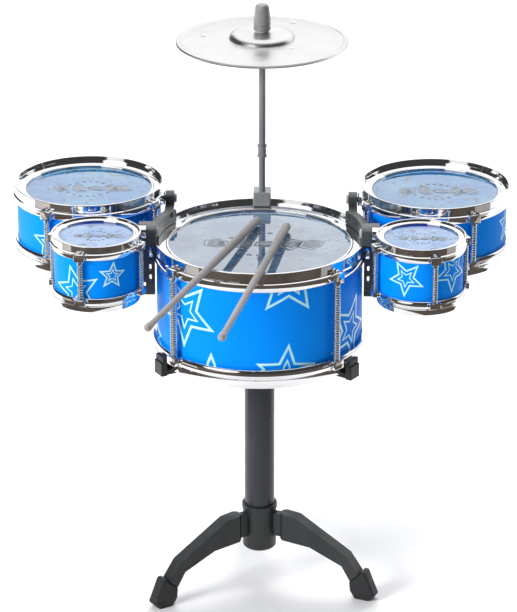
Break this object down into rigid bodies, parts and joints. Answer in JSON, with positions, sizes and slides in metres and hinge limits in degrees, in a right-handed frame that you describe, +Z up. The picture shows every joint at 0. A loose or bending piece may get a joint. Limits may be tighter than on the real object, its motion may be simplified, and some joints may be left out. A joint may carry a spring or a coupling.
{
  "type": "toy drum kit",
  "caption": "Child's toy drum kit: a main drum on a tripod stand, side toms on brackets, a cymbal on a rod and a pair of drumsticks.",
  "frame": {"origin": "middle of the kit's footprint, on the floor; the column stands 57.5 mm behind it", "axes": "+Z up, the player sits on the -Y side, +X to the player's right as seen from the front"},
  "size_m": [0.516, 0.5061, 0.598],
  "materials": {
    "blue_shell": "deep gloss printed with pale star outlines",
    "drum_head": "glossy translucent film with a pale splatter print",
    "chrome_trim": "bright vacuum-plated plastic",
    "bracket_grey": "moulded satin plastic",
    "pin_grey": "moulded satin plastic",
    "rod_grey": "moulded satin plastic",
    "washer_black": "matte rubber",
    "cymbal_silver": "bright silver plating",
    "stand_charcoal": "moulded satin plastic",
    "tube_black": "satin blue-black",
    "foot_black": "matte rubber",
    "stick_grey": "moulded satin plastic"
  },
  "bodies": {
    "stand": {"tripod_hub": "stand_charcoal", "left_leg": "stand_charcoal", "right_leg": "stand_charcoal", "rear_leg": "stand_charcoal", "left_foot": "foot_black", "right_foot": "foot_black", "rear_foot": "foot_black"},
    "kit": {"stand_tube": "tube_black", "drum_spider": "stand_charcoal", "main_shell": "blue_shell", "main_head": "drum_head", "main_upper_hoop": "chrome_trim", "main_lower_hoop": "chrome_trim", "main_tension_rods": "chrome_trim", "left_side_bracket": "bracket_grey", "right_side_bracket": "bracket_grey", "left_large_tom_pin": "pin_grey", "right_large_tom_pin": "pin_grey", "left_small_tom_pin": "pin_grey", "right_small_tom_pin": "pin_grey", "cymbal_rod_clamp": "bracket_grey", "cymbal_rod_lower": "rod_grey", "cymbal_rod_coupler": "rod_grey", "cymbal_rod_upper": "rod_grey"},
    "cymbal_clamp_screw": {"cymbal_clamp_screw": "bracket_grey"},
    "cymbal_washers": {"cymbal_lower_washer": "washer_black", "cymbal_upper_washer": "washer_black"},
    "cymbal": {"cymbal": "cymbal_silver"},
    "cymbal_nut": {"cymbal_nut": "rod_grey"},
    "left_drumstick": {"left_drumstick": "stick_grey"},
    "right_drumstick": {"right_drumstick": "stick_grey"},
    "left_large_tom": {"left_large_tom_shell": "blue_shell", "left_large_tom_head": "drum_head", "left_large_tom_upper_hoop": "chrome_trim", "left_large_tom_lower_hoop": "chrome_trim", "left_large_tom_tension_rods": "chrome_trim"},
    "right_large_tom": {"right_large_tom_shell": "blue_shell", "right_large_tom_head": "drum_head", "right_large_tom_upper_hoop": "chrome_trim", "right_large_tom_lower_hoop": "chrome_trim", "right_large_tom_tension_rods": "chrome_trim"},
    "left_small_tom": {"left_small_tom_shell": "blue_shell", "left_small_tom_head": "drum_head", "left_small_tom_upper_hoop": "chrome_trim", "left_small_tom_lower_hoop": "chrome_trim", "left_small_tom_tension_rods": "chrome_trim"},
    "right_small_tom": {"right_small_tom_shell": "blue_shell", "right_small_tom_head": "drum_head", "right_small_tom_upper_hoop": "chrome_trim", "right_small_tom_lower_hoop": "chrome_trim", "right_small_tom_tension_rods": "chrome_trim"}
  },
  "joints": [
    {"name": "stand_swivel", "type": "hinge", "parent": "stand", "child": "kit", "pos_m": [0, 0.0575, 0.15], "axis": [0, 0, 1], "continuous": true},
    {"name": "left_large_tom_tilt", "type": "hinge", "parent": "kit", "child": "left_large_tom", "pos_m": [-0.102, 0.1355, 0.398], "axis": [1, 0, 0], "range_deg": [-3, 12]},
    {"name": "left_small_tom_tilt", "type": "hinge", "parent": "kit", "child": "left_small_tom", "pos_m": [-0.116, 0.0335, 0.399], "axis": [1, 0, 0], "range_deg": [-12, 8]},
    {"name": "right_large_tom_tilt", "type": "hinge", "parent": "kit", "child": "right_large_tom", "pos_m": [0.102, 0.1355, 0.398], "axis": [1, 0, 0], "range_deg": [-3, 12]},
    {"name": "right_small_tom_tilt", "type": "hinge", "parent": "kit", "child": "right_small_tom", "pos_m": [0.116, 0.0335, 0.399], "axis": [1, 0, 0], "range_deg": [-12, 8]},
    {"name": "cymbal_rock", "type": "hinge", "parent": "kit", "child": "cymbal_washers", "pos_m": [0, 0.1645, 0.567], "axis": [1, 0, 0], "range_deg": [-3, 3]},
    {"name": "cymbal_spin", "type": "hinge", "parent": "cymbal_washers", "child": "cymbal", "pos_m": [0, 0.1645, 0.567], "axis": [0, 0, 1], "continuous": true},
    {"name": "cymbal_nut_turn", "type": "hinge", "parent": "kit", "child": "cymbal_nut", "pos_m": [0, 0.1645, 0.585], "axis": [0, 0, 1], "continuous": true},
    {"name": "clamp_screw_turn", "type": "hinge", "parent": "kit", "child": "cymbal_clamp_screw", "pos_m": [0, 0.1825, 0.3845], "axis": [0, 1, 0], "continuous": true},
    {"name": "left_drumstick_lift", "type": "slide", "parent": "kit", "child": "left_drumstick", "axis": [0, 0, 1], "range_m": [0, 0.12]},
    {"name": "right_drumstick_lift", "type": "slide", "parent": "kit", "child": "right_drumstick", "axis": [0, 0, 1], "range_m": [0, 0.12]}
  ]
}
